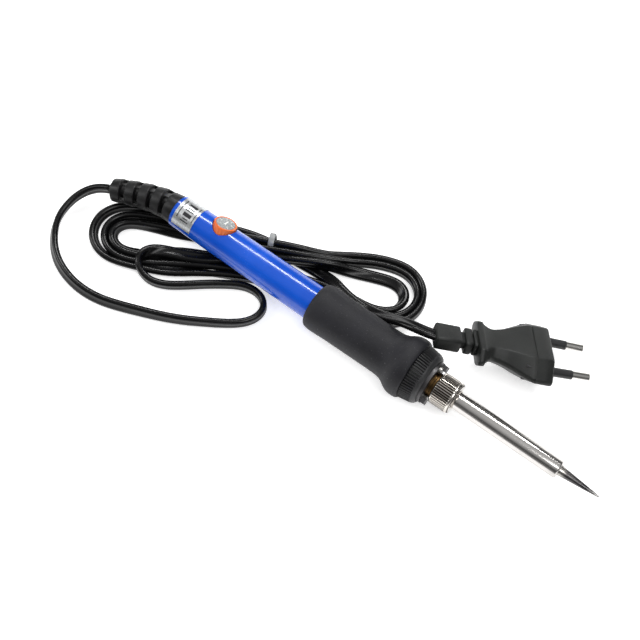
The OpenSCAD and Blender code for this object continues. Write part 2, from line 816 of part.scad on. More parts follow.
module plug_crimps() {
    color("#c8b070") plug() difference() {
        pin_places() crimp_shape();
        wire_shape(core_r);
    }
}

module plug_wires() {
    color("#2a58b0") plug() wire_shape(core_r);
}

handle_tube();
rating_label();
grip_sleeve();
front_collar();
front_plate();
plate_screws();
threaded_spigot();
heater_base();
heater_element();
soldering_tip();
barrel_tube();
barrel_nut();
dial_knob();
dial_face();
potentiometer_shaft();
potentiometer_body();
circuit_board();
triac();
diac();
film_capacitor();
resistors();
mains_leads();
heater_leads();
clamp_saddle();
clamp_bar();
clamp_screws();
strain_relief();
cord_inlet();
cord_loop();
cord_hank();
cord_tail();
hank_tie();
plug_body();
plug_insert();
plug_pins();
pin_sleeves();
plug_crimps();
plug_wires();
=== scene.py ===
# %% [markdown]
# # A mains soldering iron with its cord and plug
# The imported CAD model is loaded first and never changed. It gives every place and size. The cells below make the
# surfaces that CAD leaves plain: the cord, the moulded rubber, the knurled metal, the printed label and dial.

# %% Load the frame
import bpy
import bmesh
import numpy as np
from math import cos, pi, radians, sin
from mathutils import Matrix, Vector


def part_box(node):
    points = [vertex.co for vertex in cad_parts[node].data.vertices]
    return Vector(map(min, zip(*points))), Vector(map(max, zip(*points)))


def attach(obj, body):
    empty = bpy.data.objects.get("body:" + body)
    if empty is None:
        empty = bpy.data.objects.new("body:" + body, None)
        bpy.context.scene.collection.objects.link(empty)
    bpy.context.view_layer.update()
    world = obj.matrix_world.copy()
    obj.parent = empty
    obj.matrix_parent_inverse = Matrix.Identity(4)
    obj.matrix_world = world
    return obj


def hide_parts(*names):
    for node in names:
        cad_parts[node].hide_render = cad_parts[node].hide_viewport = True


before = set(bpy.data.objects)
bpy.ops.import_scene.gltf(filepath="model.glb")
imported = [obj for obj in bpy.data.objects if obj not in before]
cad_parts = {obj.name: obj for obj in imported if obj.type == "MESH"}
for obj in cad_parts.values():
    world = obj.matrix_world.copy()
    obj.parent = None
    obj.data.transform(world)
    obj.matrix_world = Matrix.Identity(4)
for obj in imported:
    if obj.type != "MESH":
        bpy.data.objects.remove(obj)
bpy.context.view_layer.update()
MM = 0.001

# %% [markdown]
# ## The camera
# A long lens high above the iron shows it nearly in plan, turned across the picture. The camera's axes are worked
# out from two angles, because the right and up vectors of a camera that doesn't roll follow from where it looks.

# %% Camera
AZIMUTH, ELEVATION, DISTANCE = radians(36.822), radians(66), 647.13
LOOK_AT = np.array([-28.078, -4.932, 14.0])
LENS, SENSOR = 84.99, 36.0

back = np.array([sin(AZIMUTH) * cos(ELEVATION), -cos(AZIMUTH) * cos(ELEVATION), sin(ELEVATION)])
right = np.array([cos(AZIMUTH), sin(AZIMUTH), 0])
camera_data = bpy.data.cameras.new("camera")
camera_data.lens, camera_data.sensor_width = LENS, SENSOR
camera = bpy.data.objects.new("camera", camera_data)
bpy.context.scene.collection.objects.link(camera)
place = np.eye(4)
place[:3, :3] = np.stack([right, np.cross(back, right), back], 1)
place[:3, 3] = (LOOK_AT + back * DISTANCE) * MM
camera.matrix_world = Matrix(place.tolist())
bpy.context.scene.camera = camera
print("camera at", [round(float(v), 4) for v in place[:3, 3]])

# %% [markdown]
# ## Grids and profiles
# Every new surface here is a grid of points: rows along the piece and columns round it. One helper turns a grid into
# faces, and another joins grids into one object and closes its poles. A turned part is a profile of (station,
# radius) points carried round the handle's axis, and its corners are rounded first, since no moulded edge is sharp.

# %% Mesh helpers
grip_low, grip_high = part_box("grip_sleeve")
AXIS_Z = grip_low[2] / MM + (grip_high[2] - grip_low[2]) / MM / 2
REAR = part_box("handle_tube")[0][0] / MM


def grid(points, closed=True, caps=False):
    """(vertices, faces, corner UVs) of a grid of rows x columns points. Column j joins column j + 1, and the last
    joins the first where closed. U runs along the rows and V round the columns, both from 0 to 1."""
    rows, cols = points.shape[:2]
    spans = cols if closed else cols - 1
    i, j = (a.ravel() for a in np.meshgrid(np.arange(rows - 1), np.arange(spans), indexing="ij"))
    faces = np.stack([i * cols + j, i * cols + (j + 1) % cols, (i + 1) * cols + (j + 1) % cols, (i + 1) * cols + j], 1)
    u = np.stack([i, i, i + 1, i + 1], 1) / (rows - 1)
    v = np.stack([j, j + 1, j + 1, j], 1) / spans
    faces, corners = faces.tolist(), np.stack([u, v], -1).reshape(-1, 2)
    if caps:
        faces += [list(range(cols)), list(range(rows * cols - 1, (rows - 1) * cols - 1, -1))]
        corners = np.concatenate([corners, np.zeros((2 * cols, 2))])
    return points.reshape(-1, 3), faces, corners


def make(name, parts, sharp=40):
    """One object from grids in millimetres, with its poles merged, its faces turned outwards, and smooth shading
    that breaks at edges steeper than `sharp` degrees."""
    verts, faces, corners, start = [], [], [], 0
    for points, some_faces, some_corners in parts:
        verts.append(points)
        faces += [[k + start for k in f] for f in some_faces]
        corners.append(some_corners)
        start += len(points)
    mesh = bpy.data.meshes.new(name)
    mesh.from_pydata((np.concatenate(verts) * MM).tolist(), [], faces)
    layer = mesh.uv_layers.new(name="UVMap")
    layer.data.foreach_set("uv", np.concatenate(corners).astype(np.float32).ravel())
    work = bmesh.new()
    work.from_mesh(mesh)
    bmesh.ops.remove_doubles(work, verts=work.verts, dist=2e-6)
    bmesh.ops.recalc_face_normals(work, faces=work.faces)
    work.to_mesh(mesh)
    work.free()
    mesh.polygons.foreach_set("use_smooth", np.ones(len(mesh.polygons), bool))
    mesh.set_sharp_from_angle(angle=radians(sharp))
    piece = bpy.data.objects.new(name, mesh)
    bpy.context.scene.collection.objects.link(piece)
    print(f"{name}: {len(mesh.vertices)} points, {len(mesh.polygons)} faces")
    return piece


def rounded(corners, cut, steps=5):
    """A line of points with each inner corner replaced by a curve: cut back from the corner along both sides by
    `cut`, or half the side where that is less, then a quadratic curve that leans on the corner."""
    corners = np.array(corners, float)
    before, at, after = corners[:-2], corners[1:-1], corners[2:]
    ways = [(before - at), (after - at)]
    sizes = [np.linalg.norm(w, axis=1, keepdims=True) for w in ways]
    a, b = (at + w / s * np.minimum(cut, s * 0.48) for w, s in zip(ways, sizes))
    t = np.linspace(0, 1, steps)[None, :, None]
    curve = (1 - t) ** 2 * a[:, None] + 2 * t * (1 - t) * at[:, None] + t * t * b[:, None]
    return np.concatenate([corners[:1], curve.reshape(-1, corners.shape[1]), corners[-1:]])


def turned(profile, columns=128, wave=None):
    """Points of a profile of (station, radius) rows carried round the handle's axis: x is the station, and y and z
    are the radius times the cosine and sine of the column's angle. `wave` changes radii(station, radius, angle)."""
    profile = np.array(profile, float)
    angle = np.arange(columns) * 2 * pi / columns
    u, r = profile[:, :1], profile[:, 1:2]
    radii = np.broadcast_to(r, (len(profile), columns)) if wave is None else wave(u, r, angle[None, :])
    x = np.broadcast_to(u, radii.shape) + REAR
    return np.stack([x, radii * np.cos(angle), radii * np.sin(angle) + AXIS_Z], -1)


print("handle's axis at z", round(AXIS_Z, 2), "mm, rear end at x", round(REAR, 2), "mm")

# %% [markdown]
# ## The cord's route
# The cord is one flat two-core lead, 1.31 metres long. It leaves the strain relief, makes a free loop, and is folded
# into a hank of three turns with a tie round its waist, and its far end climbs beside the grip to the plug. The
# points keep close to the CAD's cord solids. Each has a roll as well: a flat lead stands on edge in its bends,
# because it bends more easily across its thickness, and lies flat where it is pressed down.

# %% Cord route
CORD_W, CORD_T = 5.6, 3.0
EDGE_UP = (CORD_W - CORD_T) / 2
LIES = CORD_T / 2

# The free loop: x, y, z and roll in degrees
loop = [
    (-143, -8.7, 10.3, 0), (-149, -11.5, 8.8, 0), (-153.5, -17, 6.8, 4), (-155.5, -24, 5, 10), (-155, -32, 3.7, 16),
    (-150.5, -40, 3, 22), (-143.5, -46.5, 2.9, 26), (-134.5, -50.5, 2.9, 28), (-124.5, -52, 2.9, 28),
    (-114.5, -51, 2.9, 26), (-105, -48, 2.9, 24), (-96, -44.5, 2.9, 20), (-87.5, -41, 2.9, 16),
    (-79, -36.8, 2.9, 12), (-71, -32, 2.9, 8), (-63.5, -27.2, 2.9, 4), (-57.5, -22.5, 2.9, 0),
    (-54, -17.5, 2.9, 0), (-53.5, -12, 2.9, 0), (-56.5, -8.2, 2.9, 0), (-62, -6.8, 2.9, 0), (-68, -8, 2.9, 0),
    (-74.5, -12, 2.9, 0), (-81.5, -17.2, 2.9, 0), (-88.5, -23, 2.9, 0), (-95.5, -28.2, 2.9, 0),
    (-102, -31, 3.6, 0),
]
# The climb beside the grip into the plug's neck
tail = [
    (-36, 16, 5.6, 80), (-29, 13.9, 7.0, 88), (-22, 13, 7.5, 92), (-15, 12.9, 8.9, 98), (-8.5, 13.1, 12, 104),
    (-2.5, 13.2, 16.7, 108), (3.5, 13.2, 21.1, 112), (9.8, 13.3, 23.6, 114),
]

# The hank in its own frame: s along it and t across it, in millimetres from the tie
HANK_AT, HANK_TURN = np.array([-71.0, 7.0]), radians(22.8)
TIE_S = 4.2
HUMPS = {"F3": 6, "F2": 15, "F1": 23}
HUMP_RISE, HUMP_TOP, HUMP_FADE = 3.0, 10, 12


def hump(name, s):
    """How far a run rises where the last run passes under it: a plateau with sloping shoulders."""
    if name not in HUMPS:
        return 0
    f = np.clip((HUMP_TOP + HUMP_FADE - abs(s - HUMPS[name])) / HUMP_FADE, 0, 1)
    return HUMP_RISE * f * f * (3 - 2 * f)


def run(name, *points):
    """Points of one straight run of the hank, from (s, t, roll, lift) rows, with its hump added."""
    return [(s, t, roll, lift + hump(name, s)) for s, t, roll, lift in points]


def bend(cs, ct, rs, rt, side, rolls, count=7, power=1.0):
    """Points of a round end: a half ellipse about (cs, ct) that bulges to `side` and rolls evenly between two angles.
    A power under 1 makes the end blunter."""
    out = []
    for k in range(1, count):
        phi = side * (pi / 2 - pi * k / count)
        roll = rolls[0] + (rolls[1] - rolls[0]) * k / count
        out.append((cs + side * rs * cos(phi) ** power, ct + rt * sin(phi), roll, 0))
    return out


hank = (
    [(-47.8, -20.6, 0, 1.8), (-50.6, -17.6, 0, 2.8), (-51.3, -14.2, 5, 3.5), (-49.6, -11, 25, 3.6),
     (-46, -8.9, 55, 3.3)]
    + run("F1", (-41, -7.8, 85, 3), (-26, -7.3, 90, 3), (-15, -4.6, 90, 3), (-5, -0.6, 60, 1.5), (3, 0.7, 10, 0),
          (15, 1.0, 0, 0), (30, 2.4, 20, 0), (42, 3.3, 60, 0), (53, 3.5, 84, 0))
    + bend(55, -4.4, 12.5, 7.9, 1, (85, 0), 6, 0.8)
    + run("N1", (55, -12.2, 0, 0), (43, -8.9, 0, 0), (30, -6.3, 0, 0), (18, -5.2, 0, 0), (5, -4.2, 30, 0),
          (-10, -4, 88, 0), (-24, -4.6, 90, 0), (-38, -6.2, 80, 0), (-48, -10, 60, 0))
    + bend(-52, -4, 14.9, 7.2, -1, (50, 0), 7, 0.66)
    + run("F2", (-50, 3.3, 20, 0), (-38, 3.4, 50, 0), (-20, 3.9, 20, 0), (0, 3.75, 0, 0), (15, 4.1, 0, 0),
          (30, 5.5, 0, 0), (42, 7.9, 0, 0), (53, 9.4, 0, 0))
    + bend(55, -2.9, 17.9, 12.3, 1, (0, 0), 7, 0.8)
    + run("N2", (55, -15.3, 0, 0), (43, -12, 0, 0), (30, -9.4, 0, 0), (18, -8.3, 0, 0), (5, -7.6, 0, 0),
          (-10, -8.4, 10, 0), (-24, -9.4, 40, 0), (-38, -10.9, 70, 0), (-50, -13.4, 60, 0))
    + bend(-53, -3.5, 17.1, 10.7, -1, (55, 0), 8, 0.75)
    + run("F3", (-51, 7.3, 20, 0), (-38, 7.9, 50, 0), (-20, 7.2, 20, 0), (0, 6.8, 0, 0), (15, 7.2, 0, 0),
          (30, 8.6, 0, 0), (42, 11, 0, 0), (53, 12.3, 0, 0))
    + bend(54.5, -3.0, 21, 15.4, 1, (0, 0), 8, 0.8)
    + run("N3", (55, -18.4, 0, 0), (43, -15, 0, 0), (30, -12.5, 0, 0), (18, -11.3, 0, 0), (5, -10.6, 0, 0),
          (-10, -11.5, 8, 0), (-24, -13.3, 40, 0), (-38, -15.7, 70, 0), (-50, -16.7, 50, 0))
    + bend(-57, -2.8, 18.7, 14.2, -1, (40, 0), 9, 0.85)
    + run("L", (-55, 11.5, 20, 0), (-45, 12.1, 50, 0), (-28, 11.5, 40, 0), (-14, 10.2, 30, 0), (-4, 9.4, 60, 0),
          (6, 7.2, 88, 0), (16, 3.6, 90, 0), (26, 0.4, 88, 0), (32, -2.6, 80, 1.6))
)

s, t, roll, lift = np.array(hank, float).T
hank_x = HANK_AT[0] + s * cos(HANK_TURN) - t * sin(HANK_TURN)
hank_y = HANK_AT[1] + s * sin(HANK_TURN) + t * cos(HANK_TURN)
hank_z = EDGE_UP * np.abs(np.cos(np.radians(roll))) + LIES + lift

# The plug's place and turns, as in the CAD
PLUG_AT = np.array([58.3, 40.8, 10.3])
PLUG_YAW, PLUG_DIP, PLUG_ROLL = radians(32), radians(15), radians(24)
PLUG_LEN, NECK_LEN = 32.0, 18.4
plug_turn = np.array(
    Matrix.Rotation(PLUG_YAW, 3, "Z") @ Matrix.Rotation(PLUG_DIP, 3, "Y") @ Matrix.Rotation(-PLUG_ROLL, 3, "X"))
neck_way = plug_turn @ np.array([1, 0, 0])
neck_rear = PLUG_AT - neck_way * (PLUG_LEN + NECK_LEN)
NECK_ROLL = 114
into_neck = [(*(neck_rear + neck_way * d), NECK_ROLL) for d in (0, 5, 10)]

knots = np.concatenate([np.array(loop, float), np.stack([hank_x, hank_y, hank_z, roll], 1),
                        np.array(tail, float), np.array(into_neck)])
print("cord knots:", len(knots))

# %% [markdown]
# ## The cord's surface
# A smooth curve goes through the knots: a centripetal Catmull-Rom curve, which doesn't overshoot where knots are
# close together. It is cut into even steps, and a flat section with a shallow groove between its two cores is
# carried along it, turned by the roll. A mesh tube carries the roll exactly, which a bevelled curve would not.

# %% Cord curve
STEP = 1.2


def smooth_curve(points, per_span=16):
    """A curve through points of any width. Each knot's time grows by the root of its distance from the last, each
    knot's velocity is that of the parabola through it and its neighbours, and cubic Hermite pieces join them."""
    gap = np.linalg.norm(np.diff(points[:, :3], axis=0), axis=1)
    time = np.concatenate([[0], np.cumsum(np.sqrt(gap))])
    speed = np.gradient(points, time, axis=0, edge_order=2)
    f = np.linspace(0, 1, per_span, endpoint=False)[None, :, None]
    p, q, v, w = points[:-1, None], points[1:, None], speed[:-1, None], speed[1:, None]
    h = np.diff(time)[:, None, None]
    curve = ((2 * f**3 - 3 * f**2 + 1) * p + (f**3 - 2 * f**2 + f) * h * v
             + (3 * f**2 - 2 * f**3) * q + (f**3 - f**2) * h * w)
    return np.concatenate([curve.reshape(-1, points.shape[1]), points[-1:]])


def even_steps(curve, step):
    """The same line cut into equal steps of about `step`, by its length so far."""
    far = np.concatenate([[0], np.cumsum(np.linalg.norm(np.diff(curve[:, :3], axis=0), axis=1))])
    at = np.linspace(0, far[-1], int(round(far[-1] / step)) + 1)
    return np.stack([np.interp(at, far, curve[:, k]) for k in range(curve.shape[1])], 1), far[-1]


def softened(values, passes):
    """Each row moves to the average of itself and its two neighbours, over and over; the two end rows stay."""
    values = values.copy()
    for _ in range(passes):
        values[1:-1] = (values[:-2] + 2 * values[1:-1] + values[2:]) / 4
    return values


line, _ = even_steps(smooth_curve(knots), STEP)
line, cord_length = even_steps(softened(line, 10), STEP)
half_height = EDGE_UP * np.abs(np.cos(np.radians(line[:, 3]))) + LIES
line[:, 2] = np.maximum(line[:, 2], half_height + 0.05)


def directions(points):
    """Unit tangent, side and up of a line: the side is level, and up is square to both."""
    tangent = np.gradient(points, axis=0)
    tangent /= np.linalg.norm(tangent, axis=1, keepdims=True)
    side = np.cross([0, 0, 1.0], tangent)
    side /= np.linalg.norm(side, axis=1, keepdims=True)
    return tangent, side, np.cross(tangent, side)


LOBE = CORD_T / 2
lobe_angles = np.radians(np.linspace(-104, 104, 11))
one_lobe = np.stack([EDGE_UP + LOBE * np.cos(lobe_angles), LOBE * np.sin(lobe_angles)], 1)
groove = np.array([[0.0, LOBE * 0.76]])
section = np.concatenate([one_lobe, groove, -one_lobe, -groove])


def carried(points, rolls, section):
    """Section points (wide, thick) placed at each point of a line: wide goes along up turned by the roll towards the
    side, and thick is square to that and to the line."""
    tangent, side, up = directions(points)
    c, k = np.cos(np.radians(rolls))[:, None], np.sin(np.radians(rolls))[:, None]
    wide = c * up + k * side
    thick = np.cross(tangent, wide)
    return points[:, None] + wide[:, None] * section[None, :, :1] + thick[:, None] * section[None, :, 1:]


cord = make("cord", [grid(carried(line[:, :3], line[:, 3], section), caps=True)], sharp=50)
print("cord length:", round(cord_length), "mm in", len(line), "rings")

# %% [markdown]
# ## The strain relief
# A moulded black sleeve of rings keeps the cord from kinking at the handle. Each ring is a short turned band with
# soft edges. A thin web at each side joins it to the next, with a gap between the web and the core.
# Rings and webs are small grids set along the relief's own bent line. They overlap as separate closed shells.

# %% Strain relief
RELIEF = np.array([[0, 0, 0], [-7, -0.6, -0.1], [-13.5, -2, -0.7], [-20, -3.9, -1.5], [-26.5, -6.2, -2.4],
                   [-33, -8.7, -3.7]])
RELIEF_R = (6.9, 5.2)
CORE_R = 2.95


def band(profile, at, way, columns=56):
    """A ring of (along, radius) points about an axis that starts at `at` and points along `way`."""
    way = way / np.linalg.norm(way)
    across = np.cross([0, 0, 1.0], way)
    across /= np.linalg.norm(across)
    other = np.cross(way, across)
    angle = np.arange(columns) * 2 * pi / columns
    profile = np.array(profile, float)
    spin = across * np.cos(angle)[:, None] + other * np.sin(angle)[:, None]
    return np.array(at) + profile[:, None, :1] * way + profile[:, None, 1:2] * spin[None]


def web(at, way, side, inner, outer, length, half):
    """A small bar from `inner` to `outer` along `side`, with its length along `way` and softened corners."""
    way, side = way / np.linalg.norm(way), side / np.linalg.norm(side)
    third = np.cross(way, side)
    corners = [(inner, 0), (inner, -half), (outer, -half), (outer, half), (inner, half), (inner, 0)]
    square = rounded(corners, 0.45, 4)[:-1]
    ends = np.array([0, length])[:, None, None]
    return np.array(at) + ends * way + square[None, :, :1] * side + square[None, :, 1:] * third


relief_parts, origin = [], np.array([REAR, 0, AXIS_Z])
for k in range(5):
    start, way = origin + RELIEF[k], RELIEF[k + 1] - RELIEF[k]
    outer = RELIEF_R[0] + (RELIEF_R[1] - RELIEF_R[0]) * (k + 0.3) / 5
    first, width = (-0.2, 5.2) if k == 0 else (0.3, 4.6)
    ring = [(first, CORE_R), (first, outer + 0.15), (first + width, outer - 0.25), (first + width, CORE_R)]
    shape = rounded(ring, 0.55, 6)
    shape = np.concatenate([shape, shape[:1]])
    relief_parts.append(grid(band(shape, start, way)))
    if k < 4:
        level = np.cross([0, 0, 1.0], way)
        for sign in (-1, 1):
            relief_parts.append(grid(web(start + way / 7 * 4, way, sign * level, outer - 1.25, outer - 0.2, 4.6, 1.0),
                                     caps=True))
core_line, _ = even_steps(smooth_curve(origin + RELIEF, 8), 1.0)
core_turn = np.arange(24) * 2 * pi / 24
core_ring = CORE_R * np.stack([np.cos(core_turn), np.sin(core_turn)], 1)
core = carried(core_line[:-1], np.zeros(len(core_line) - 1), core_ring)
relief_parts.append(grid(core, caps=True))
strain_relief = make("relief_sleeve", relief_parts, sharp=55)

# %% [markdown]
# ## The plug
# The plug is one black moulding: a flattened six-sided body that narrows to a waist, a finger flange, and a neck of
# blocks, which on the real plug bend with the cord and here stand in a straight line. Its surface is a loft. Each
# station along it has a width, a thickness and the width of its flat, and the corners of its section are rounded
# together as one array.

# %% Plug body
def on_plug(points):
    """Points from the plug's own frame, where X is the way the pins point, to the object's frame."""
    return np.asarray(points) @ plug_turn.T + PLUG_AT


def loft(stations, cut, steps=5):
    """Eight-cornered sections (x, width, thickness, flat, half of the side's height) with each corner rounded."""
    x, w, t, flat, e = np.array(stations, float).T
    half, top = w / 2, t / 2
    y = np.stack([-half, -flat / 2, flat / 2, half, half, flat / 2, -flat / 2, -half], 1)
    z = np.stack([-e, -top, -top, -e, e, top, top, e], 1)
    ring = np.stack([y, z], -1)
    ways = [np.roll(ring, 1, 1) - ring, np.roll(ring, -1, 1) - ring]
    sizes = [np.linalg.norm(v, axis=2, keepdims=True) for v in ways]
    a, b = (ring + v / s * np.minimum(cut, s * 0.45) for v, s in zip(ways, sizes))
    f = np.linspace(0, 1, steps)[None, None, :, None]
    curve = (1 - f) ** 2 * a[:, :, None] + 2 * f * (1 - f) * ring[:, :, None] + f * f * b[:, :, None]
    curve = curve.reshape(len(x), -1, 2)
    along = np.broadcast_to(x[:, None, None], (*curve.shape[:2], 1))
    return on_plug(np.concatenate([along, curve], 2))


def block(start, length, w, t, corner=0.7):
    """Stations of a plain block across the plug with its end edges rounded."""
    ease = np.array([0, 0.3, 1.0]) * corner
    shrink = np.array([1.2, 0.45, 0]) * corner
    x = np.concatenate([start + ease, start + length - ease[::-1]])
    less = np.concatenate([shrink, shrink[::-1]])
    return [(a, w - b, t - b, w - b - 1.6, (t - b) / 2 - 0.8) for a, b in zip(x, less)]


body_x = np.array([0, -8, -10, -15, -20, -25.5, -28, -29.4])
body_w = np.array([35.3, 35.3, 33.0, 26.6, 20.5, 16.6, 19.5, 24])
body_t = np.array([13.7, 13.7, 13.4, 12.2, 10, 8.5, 8.9, 9.3])
body_flat = np.array([20, 20, 19.6, 16.5, 13, 11, 13, 16])
plain_x = np.linspace(-8.9, -29.0, 36)
tables = [softened(np.interp(-plain_x, -body_x, v), 6) for v in (body_w, body_t, body_flat)]
EDGE_HALF = 0.9
# Rows of x, width, thickness and flat: the pin face and its rim, the groove behind it, then the finger flange
front = [(-0.2, 34.7, 13.1, 19.6), (-0.8, 35.3, 13.7, 20), (-4, 35.3, 13.7, 20), (-7.6, 35.3, 13.7, 20),
         (-7.75, 34.7, 13.1, 19.7), (-8.15, 34.4, 13.0, 19.7), (-8.3, 34.7, 13.5, 19.8)]
flange = [(-29.4, 24.6, 9.4, 17), (-29.8, 25.5, 9.6, 17.5), (-31.4, 25.5, 9.6, 17.5), (-31.8, 25.0, 9.1, 17.2),
          (-32, 24.0, 8.4, 16.6)]
stations = [(0, 34.0, 12.4, 19.2, EDGE_HALF * 0.8)]
stations += [(*row, EDGE_HALF) for row in [*front, *zip(plain_x, *tables), *flange]]
NECK_START = -PLUG_LEN - NECK_LEN
BLOCK_LEN, BLOCK_GAP = 11.0, 1.8
front_block = NECK_START + BLOCK_LEN + BLOCK_GAP
plug_parts = [
    grid(loft(stations, 0.7), caps=True),
    grid(loft(block(NECK_START, BLOCK_LEN, 10.6, 6.8), 0.8), caps=True),
    grid(loft(block(front_block, 3.2, 10.6, 6.8), 0.8), caps=True),
    grid(loft(block(front_block + 3.7, -PLUG_LEN - front_block - 3.5, 10.6, 6.8), 0.8), caps=True),
    grid(loft(block(NECK_START + 1, NECK_LEN, 7.0, 4.6, 0.3), 0.6), caps=True),
]
plug_shell = make("plug_shell", plug_parts, sharp=50)

# %% [markdown]
# ## The grip and its collar
# The grip is a soft rubber sleeve that swells into a flare in front of the fingers, so its profile is a smooth line
# with a rolled rear lip. The collar clamps in front of it. Its ribs are a wave in the radius, flat on the tops and
# cut between them, that fades where the smooth nose begins.

# %% Grip and collar
grip_line = smooth_curve(np.array([
    (76.05, 9.0), (76.2, 9.7), (76.9, 10.35), (78.3, 10.78), (81.5, 10.9), (87, 10.66), (93, 10.6), (104, 10.55),
    (113, 10.55), (115.8, 10.75), (118.3, 11.5), (120.6, 12.9), (122.4, 13.7), (124.2, 14.0), (125.8, 14.0),
    (127.0, 13.8), (127.8, 13.35), (128.0, 12.9)]), 6)
grip_profile = np.concatenate([[(78.0, 8.05), (76.1, 8.3)], grip_line, [(128.0, 12.2), (128.0, 8.05)]])
grip = make("rubber_grip", [grid(turned(np.concatenate([grip_profile, grip_profile[:1]]), 144))], sharp=60)

RIBS, RIB_DEPTH, RIB_TO = 62, 0.95, 133.8


def ribbed(u, r, angle):
    """Radius less a groove between ribs: the groove's depth follows the cosine of the rib count times the angle,
    squared up, and fades in the last half millimetre before the smooth nose."""
    wave = np.clip(0.5 + 1.5 * np.cos(RIBS * angle), 0, 1)
    here = np.clip((RIB_TO - u) / 0.5, 0, 1) * (r > 11.2)
    return r - RIB_DEPTH * here * (1 - wave)


collar_outer = rounded([(128.02, 10.3), (128.02, 12.7), (128.5, 12.85), (133.8, 12.0), (134.9, 11.5), (135.7, 10.7),
                        (135.7, 9.9), (134.4, 9.9)], 0.35, 4)
dense = []
for (a, b), (c, d) in zip(collar_outer[:-1], collar_outer[1:]):
    count = max(1, int(abs(c - a) / 0.45))
    dense += [(a + (c - a) * k / count, b + (d - b) * k / count) for k in range(count)]
dense.append(tuple(collar_outer[-1]))
collar_profile = np.array(dense + [(134.4, 10.3), (128.02, 10.3)])
collar = make("ribbed_collar", [grid(turned(collar_profile, RIBS * 8, ribbed))], sharp=50)

# %% [markdown]
# ## The knurled nut, the barrel and the tip
# The nut's straight knurl is the same kind of wave as the collar's ribs, narrower and finer, between two bevelled
# rims. The barrel is a turned tube with a lip, a little narrower under the nut. The tip is a long cone that ends in
# a small rounded point, with the step where its shank leaves the barrel. All three turn about one axis.

# %% Nut, barrel and tip
NUT_FROM, NUT_TO, NUT_R = 139.8, 149.4, 7.3
TEETH, TOOTH = 42, 0.7


def knurled(u, r, angle):
    """Radius less a tooth gap: a folded wave of the angle, which fades at both rims and inside the bore."""
    wave = np.clip(0.6 + 1.3 * np.cos(TEETH * angle), 0, 1)
    rim = np.clip((u - NUT_FROM - 0.35) / 0.5, 0, 1) * np.clip((NUT_TO - 1.25 - u) / 0.4, 0, 1)
    return r - TOOTH * rim * (1 - wave) * (r > 6.2)


nut_edge = [(NUT_FROM, 5.86), (NUT_FROM, 6.8), (NUT_FROM + 0.5, NUT_R)]
nut_edge += [(u, NUT_R) for u in np.arange(NUT_FROM + 0.7, NUT_TO - 0.9, 0.22)]
nut_edge += [(148.5, NUT_R), (149.0, 7.1), (149.35, 6.6), (149.4, 6.2), (149.4, 4.8), (149.1, 4.36), (147.4, 4.36),
             (147.4, 5.86), (NUT_FROM, 5.86)]
nut = make("knurled_nut", [grid(turned(nut_edge, TEETH * 8, knurled))], sharp=45)

BARREL_FROM, BARREL_TO, BARREL_R, WALL = 145.9, 201.1, 4.2, 0.5
NECK_UNDER_NUT = 0.35
inner = BARREL_R - WALL
barrel_outline = [
    (BARREL_FROM, inner - NECK_UNDER_NUT), (BARREL_FROM, 5.5), (147.1, 5.5), (147.1, BARREL_R - NECK_UNDER_NUT),
    (149.75, BARREL_R - NECK_UNDER_NUT), (149.9, BARREL_R), (175, BARREL_R), (200.55, BARREL_R),
    (BARREL_TO, 3.75), (BARREL_TO, 2.7), (200.1, 2.7), (200.1, inner), (149.9, inner), (149.9, inner - NECK_UNDER_NUT),
    (BARREL_FROM, inner - NECK_UNDER_NUT)]
barrel = make("barrel_sleeve", [grid(turned(rounded(barrel_outline, 0.12, 3), 128))], sharp=35)

TIP_END, TIP_REAR = 220.1, 199.8 - 1.5
CONE_FROM, CONE_TO, CONE_R, POINT_R = 202.2, 219.3, 2.2, 0.52
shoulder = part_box("soldering_tip")[0][0] / MM - REAR
tip_outline = np.concatenate([
    [(TIP_REAR, 0), (TIP_REAR, 2.25), (shoulder, 2.25), (shoulder, 3.2), (199.8, 3.2), (199.8, 2.4)],
    [(201.1, 2.4), (201.5, 2.36), (CONE_FROM, CONE_R)],
    [(u, CONE_R + (POINT_R - CONE_R) * (u - CONE_FROM) / (CONE_TO - CONE_FROM))
     for u in np.linspace(203, CONE_TO, 14)],
    [(219.75, 0.42), (220.0, 0.26), (TIP_END, 0.0)]])
tip = make("iron_tip", [grid(turned(tip_outline, 96))], sharp=40)

# %% [markdown]
# ## The dial
# The orange dial is a short cup with a rounded rim, sunk in the tube. Its grey face carries generic figures from 1
# to 6 round a pointer, as on any kitchen timer. Ticks and pointer are thin raised plates, and the figures are text
# made into a mesh before it is turned into place. The dial's parts all ride on the body that the joint turns.

# %% Dial
LEAN_DEG, DIAL_STATION = 34, 23.5
LEAN = radians(LEAN_DEG)
DIAL_AT = REAR + DIAL_STATION
TUBE_REAR_D, TUBE_FLARE, TUBE_LEN, KNOB_PROUD = 14.8, 1.2, 74.5, 1.1
KNOB_TOP = (TUBE_REAR_D + TUBE_FLARE * DIAL_STATION / TUBE_LEN) / 2 + KNOB_PROUD
KNOB_R, FACE_R, KNOB_H = 5.35, 4.35, 5.8
lean_turn = np.array(Matrix.Rotation(-LEAN, 3, "X"))


def on_dial(points):
    """Points from the dial's frame, where Z is its axis and 0 is its face, to the object's frame."""
    return (np.asarray(points) + [0, 0, KNOB_TOP]) @ lean_turn.T + [DIAL_AT, 0, AXIS_Z]


def round_about(profile, columns=96, wave=None):
    """A profile of (height, radius) carried round the dial's axis."""
    profile = np.array(profile, float)
    angle = np.arange(columns) * 2 * pi / columns
    r = np.broadcast_to(profile[:, 1:2], (len(profile), columns))
    r = r if wave is None else wave(profile[:, :1], r, angle[None, :])
    h = np.broadcast_to(profile[:, :1], r.shape)
    return on_dial(np.stack([r * np.cos(angle), r * np.sin(angle), h], -1))


def fluted(h, r, angle):
    """Radius less a shallow scallop, 24 round the rim."""
    return r - 0.12 * (r > FACE_R + 0.5) * (0.5 - 0.5 * np.cos(24 * angle))


